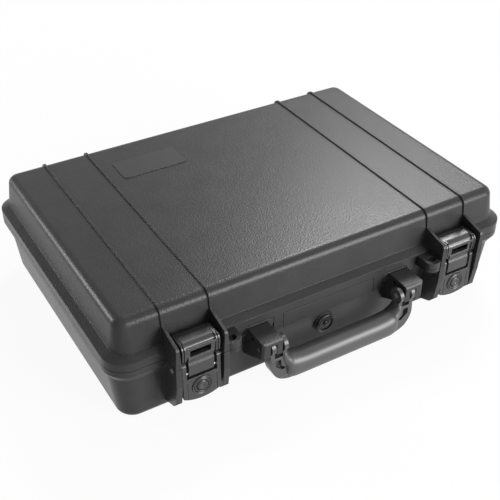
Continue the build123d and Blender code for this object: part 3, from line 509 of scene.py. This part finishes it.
def lid_foam(finish):
    """Convoluted foam in the lid: rows of soft peaks hang down over the laptop."""
    half_x, half_y, low, high = foam_plan("lid_foam")
    pitch, depth, sharpness = 24.0 * mm, 9.0 * mm, 1.2
    corner = 9.5 * mm
    step = 4.0 * mm
    border_width, border_rise = 3 * mm, 1.5 * mm
    top_edge, top_inset = 1 * mm, 0.8 * mm
    count_x, count_y = round(2 * half_x / step), round(2 * half_y / step)
    mesh = bmesh.new()

    def placed(i, j):
        """A grid point, drawn onto the rounded corner where it lies outside."""
        x = half_x * (2 * i / count_x - 1)
        y = half_y * (2 * j / count_y - 1)
        reach_x, reach_y = abs(x) - (half_x - corner), abs(y) - (half_y - corner)
        if reach_x > 0 and reach_y > 0 and hypot(reach_x, reach_y) > corner:
            pull = corner / hypot(reach_x, reach_y)
            x = (half_x - corner + reach_x * pull) * (1 if x > 0 else -1)
            y = (half_y - corner + reach_y * pull) * (1 if y > 0 else -1)
        return x, y

    def underside(x, y):
        """The level of the peaks and hollows, which rises a little at the border."""
        rim = min(half_x - abs(x), half_y - abs(y))
        peaks = (1 + cos(2 * pi * x / pitch) * cos(2 * pi * y / pitch)) / 2
        edge = min(1.0, rim / border_width)
        return low + depth * (1 - peaks ** sharpness) + (1 - edge) * border_rise

    grid = {}
    for i in range(count_x + 1):
        for j in range(count_y + 1):
            x, y = placed(i, j)
            grid[i, j] = mesh.verts.new((x, y, underside(x, y)))
    for i in range(count_x):
        for j in range(count_y):
            mesh.faces.new((grid[i, j], grid[i, j + 1], grid[i + 1, j + 1], grid[i + 1, j]))
    border = [grid[i, 0] for i in range(count_x)]
    border += [grid[count_x, j] for j in range(count_y)]
    border += [grid[i, count_y] for i in range(count_x, 0, -1)]
    border += [grid[0, j] for j in range(count_y, 0, -1)]
    loops = [border]
    for height in (lid_wall_foot, (lid_wall_foot + high) / 2, high - top_edge, high):
        inset = (height - lid_wall_foot) * lid_draft + (top_inset if height == high else 0.0)
        scale_x, scale_y = (half_x - inset) / half_x, (half_y - inset) / half_y
        loops.append([mesh.verts.new((vert.co.x * scale_x, vert.co.y * scale_y, height))
                      for vert in border])
    skin(mesh, loops)
    mesh.faces.new(loops[-1])
    return make_piece("foam_lid_convoluted", mesh, finish, "lid")


def seal_cord(finish):
    """The seal: a rubber cord with a rounded face, bedded in the lid's groove."""
    low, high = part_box("lid_seal")
    half = 1.7 * mm
    bevel = 0.4 * mm
    corner = 18.5 * mm
    middle_x = (high.x - low.x) / 2 - half
    middle_y = (high.y - low.y) / 2 - half
    mesh = bmesh.new()
    loops = []
    section = [(-half, high.z - bevel), (-half + bevel, high.z),
               (half - bevel, high.z), (half, high.z - bevel)]
    for turn in range(0, 181, 30):
        section.append((half * cos(radians(turn)), low.z + half * (1 - sin(radians(turn)))))
    for offset, height in section:
        ring = rounded_ring(middle_x + offset, middle_y + offset, corner + offset, height,
                            corner_steps=10)
        loops.append([mesh.verts.new(point) for point in ring])
    skin(mesh, loops, closed=True)
    return make_piece("seal_cord", mesh, finish, "lid")


# ===========================================================================================
# grip, ring bosses and valve button
# ===========================================================================================
def blended(table, at):
    """Reads a table of (position, value, ...) rows with straight lines between them."""
    for first, second in zip(table, table[1:]):
        if at <= second[0]:
            share = (at - first[0]) / (second[0] - first[0])
            return [a + (b - a) * share for a, b in zip(first[1:], second[1:])]
    return list(table[-1][1:])


def grip_sleeve(finish):
    """The grip: a fat oval bar whose ends sweep up round the handle's inner corners."""
    low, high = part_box("handle_grip")
    middle_y = (low.y + high.y) / 2
    height, half_depth = high.z - low.z, (high.y - low.y) / 2
    crook = 9.0 * mm
    turn_x, turn_z = high.x + 0.4 * mm, high.z + crook
    # angle round the inner corner, inner radius, outer radius and half depth
    bend = [
        (0, crook - 1.3 * mm, crook + height, half_depth),
        (10, crook - 1.4 * mm, crook + height - 0.6 * mm, half_depth * 0.97),
        (20, crook - 1.4 * mm, 26.5 * mm, half_depth * 0.91),
        (30, crook - 1.4 * mm, 19.0 * mm, half_depth * 0.84),
        (45, crook - 1.4 * mm, 17.0 * mm, half_depth * 0.75),
        (60, crook - 1.3 * mm, 15.5 * mm, half_depth * 0.68),
        (75, crook - 1.1 * mm, 14.0 * mm, half_depth * 0.62),
        (90, crook - 0.3 * mm, 13.0 * mm, half_depth * 0.50),
        (100, crook + 1.0 * mm, 12.4 * mm, half_depth * 0.36),
    ]
    # the same along the straight bar, by the distance from its middle
    bar = [
        (0.0, crook, crook + height, half_depth),
        (high.x - 11 * mm, crook, crook + height, half_depth),
        (high.x - 4 * mm, crook - 0.6 * mm, crook + height, half_depth),
        (turn_x, crook - 1.3 * mm, crook + height, half_depth),
    ]
    around, bar_steps, bend_step, bend_end = 40, 36, 5, 100
    squareness = 0.86                # 1 makes an ellipse, less a squarer oval
    mesh = bmesh.new()

    def section(place, direction, inner, outer, depth):
        """A ring of points across the bar, an oval between an inner and an outer radius."""
        ring = []
        for step in range(around):
            angle = 2 * pi * step / around
            out, side = cos(angle), sin(angle)
            out = (abs(out) ** squareness) * (1 if out > 0 else -1)
            side = (abs(side) ** squareness) * (1 if side > 0 else -1)
            reach = (inner + outer) / 2 + out * (outer - inner) / 2
            ring.append(mesh.verts.new((place[0] + direction[0] * reach, middle_y + side * depth,
                                        place[1] + direction[1] * reach)))
        return ring

    loops = []
    for angle in range(bend_end, -1, -bend_step):
        turn = radians(angle)
        loops.append(section((-turn_x, turn_z), (-sin(turn), -cos(turn)), *blended(bend, angle)))
    for step in range(1, bar_steps):
        x = turn_x * (2 * step / bar_steps - 1)
        loops.append(section((x, turn_z), (0.0, -1.0), *blended(bar, abs(x))))
    for angle in range(0, bend_end + 1, bend_step):
        turn = radians(angle)
        loops.append(section((turn_x, turn_z), (sin(turn), -cos(turn)), *blended(bend, angle)))
    skin(mesh, loops)
    mesh.faces.new(loops[0])
    mesh.faces.new(loops[-1])
    piece = make_piece("grip_sleeve", mesh, finish, "handle")
    # the sleeve is hollow where the handle's frame runs through it
    bar_core = bmesh.new()
    bar_core.from_mesh(nodes["handle_frame"].data)
    bmesh.ops.transform(bar_core, matrix=nodes["handle_frame"].matrix_world, verts=bar_core.verts)
    bmesh.ops.remove_doubles(bar_core, verts=bar_core.verts, dist=0.001 * mm)
    cut_away(piece, bar_core)
    return piece


def ring_boss(side, finish):
    """Raised ring, thin inner ring and dished button on a lever's panel."""
    low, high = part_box(f"latch_lever_{side}")
    boss_height = 35.0 * mm
    rows = [(9.8, 0.02), (9.75, 0.70), (9.4, 1.05), (8.8, 1.05), (8.4, 0.70), (8.2, 0.12),
            (7.5, 0.12), (7.3, 0.45), (6.8, 0.45), (6.6, 0.12), (4.9, 0.12), (4.7, 0.80),
            (4.2, 1.20), (2.3, 1.20), (1.9, 0.80), (0.4, 0.75)]
    middle = ((low.x + high.x) / 2, low.y, boss_height)
    return make_piece(f"ring_boss_{side}", turned(rows, middle, 56), finish, f"lever_{side}")


def valve_button(finish):
    """Small domed button in the middle of the vent valve."""
    low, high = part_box("valve_body")
    recess_depth = 1.0 * mm          # the valve's face lies this far behind its rim
    rows = [(2.6, 0.02), (2.7, 0.4), (2.5, 0.85), (1.9, 1.25), (1.0, 1.5), (0.2, 1.56)]
    middle = (0.0, low.y + recess_depth, (low.z + high.z) / 2)
    return make_piece("valve_button", turned(rows, middle, 32), finish, "base")


# ===========================================================================================
# dress the frame
# ===========================================================================================
plastic = case_plastic()
latch_finish = latch_plastic()
handle_finish = handle_plastic()
steel = pin_steel()
foam = cell_foam()
rubber = seal_rubber()
valve_finish = valve_plastic()

finishes = {
    "base_shell": plastic,
    "lid_shell": plastic,
    "nameplate": plate_lacquer(),
    "handle_frame": handle_finish,
    "valve_body": valve_finish,
    "valve_seal": rubber,
    "valve_membrane": vent_membrane(),
    "valve_nut": latch_finish,
}
for side in ("left", "right"):
    finishes[f"base_eye_{side}"] = plastic
    finishes[f"lid_eye_{side}"] = plastic
    finishes[f"latch_lever_{side}"] = latch_finish
    finishes[f"latch_hook_{side}"] = latch_finish
    for pin in ("latch_pivot_pins", "latch_hook_pin", "hinge_pin", "handle_pin"):
        finishes[f"{pin}_{side}"] = steel

for name, finish in finishes.items():
    data = nodes[name].data
    data.materials.clear()
    data.materials.append(finish)

pad = base_pad(foam)
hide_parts("base_pad")
foam_frame = base_foam(foam)
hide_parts("base_foam")
crate = lid_foam(foam)
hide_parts("lid_foam")
seal = seal_cord(rubber)
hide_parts("lid_seal")
grip = grip_sleeve(grip_rubber())
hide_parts("handle_grip")
for side in ("left", "right"):
    ring_boss(side, latch_finish)
valve_button(valve_finish)


# ===========================================================================================
# floor, light and camera
# ===========================================================================================
def floor():
    """A white floor that keeps a faint shadow, and shows white in gloss too."""
    seen_white = 0.93                # the rest of what is seen takes the shadow
    half_width = 8.0
    drop = 0.1 * mm                  # the case stands just clear of it
    look = Finish("studio_floor")
    paint = look.node("ShaderNodeBsdfDiffuse", None, {"Color": (0.9, 0.9, 0.9, 1.0)})
    white = look.node("ShaderNodeEmission", None, {"Color": (1.0, 1.0, 1.0, 1.0), "Strength": 1.0})
    mixed = look.node("ShaderNodeMixShader", None,
                      {0: look.seen() * seen_white, 1: paint, 2: white})
    look.node("ShaderNodeOutputMaterial", None, {"Surface": mixed})
    mesh = bmesh.new()
    bmesh.ops.create_grid(mesh, x_segments=2, y_segments=2, size=half_width)
    data = bpy.data.meshes.new("studio_floor")
    mesh.to_mesh(data)
    mesh.free()
    data.materials.append(look.owner)
    sheet = bpy.data.objects.new("studio_floor", data)
    sheet.location.z = -drop
    bpy.context.scene.collection.objects.link(sheet)


def softbox(name, azimuth, elevation, distance, size, power):
    """A square lamp aimed at the case; its azimuth is counted clockwise from +Y."""
    aim = Vector((50.0, -50.0, 60.0)) * mm
    lamp = bpy.data.lights.new(name, "AREA")
    lamp.size = size
    lamp.energy = power
    box = bpy.data.objects.new(name, lamp)
    turn, rise = radians(azimuth), radians(elevation)
    away = Vector((sin(turn) * cos(rise), cos(turn) * cos(rise), sin(rise)))
    box.location = aim + away * distance
    box.rotation_euler = away.to_track_quat("Z", "Y").to_euler()
    bpy.context.scene.collection.objects.link(box)


def studio_world():
    """A plain world: white where it is seen, a fifth as strong as light."""
    light = 0.2
    look = Finish("studio_world", "worlds")
    strength = look.seen() * (1.0 - light) + light
    back = look.node("ShaderNodeBackground", None,
                     {"Color": (1.0, 1.0, 1.0, 1.0), "Strength": strength})
    look.node("ShaderNodeOutputWorld", None, {"Surface": back})
    bpy.context.scene.world = look.owner


def camera():
    """The place and lens from which the case lines up with its photograph."""
    azimuth, elevation, distance = radians(-30.67), radians(35.96), 0.885
    target = Vector((-16.34, -32.62, 50.0)) * mm
    back = Vector((sin(azimuth) * cos(elevation), -cos(azimuth) * cos(elevation), sin(elevation)))
    eye = bpy.data.cameras.new("photo_camera")
    eye.sensor_width = 36.0
    eye.lens = 64.93
    eye.clip_start = 0.01
    holder = bpy.data.objects.new("photo_camera", eye)
    holder.location = target + back * distance
    holder.rotation_euler = (-back).to_track_quat("-Z", "Y").to_euler()
    bpy.context.scene.collection.objects.link(holder)
    bpy.context.scene.camera = holder


floor()
studio_world()
# azimuth and elevation in degrees, distance and size in metres, power in watts
softbox("back_right_box", 44.0, 42.5, 3.0, 0.7, 50.0)
softbox("high_right_box", 62.0, 68.0, 3.0, 0.8, 8.0)
softbox("front_right_box", 155.0, 12.0, 1.6, 0.9, 40.0)
softbox("back_left_box", -50.0, 13.0, 1.6, 0.5, 10.0)
camera()
bpy.context.scene.view_settings.view_transform = "Standard"
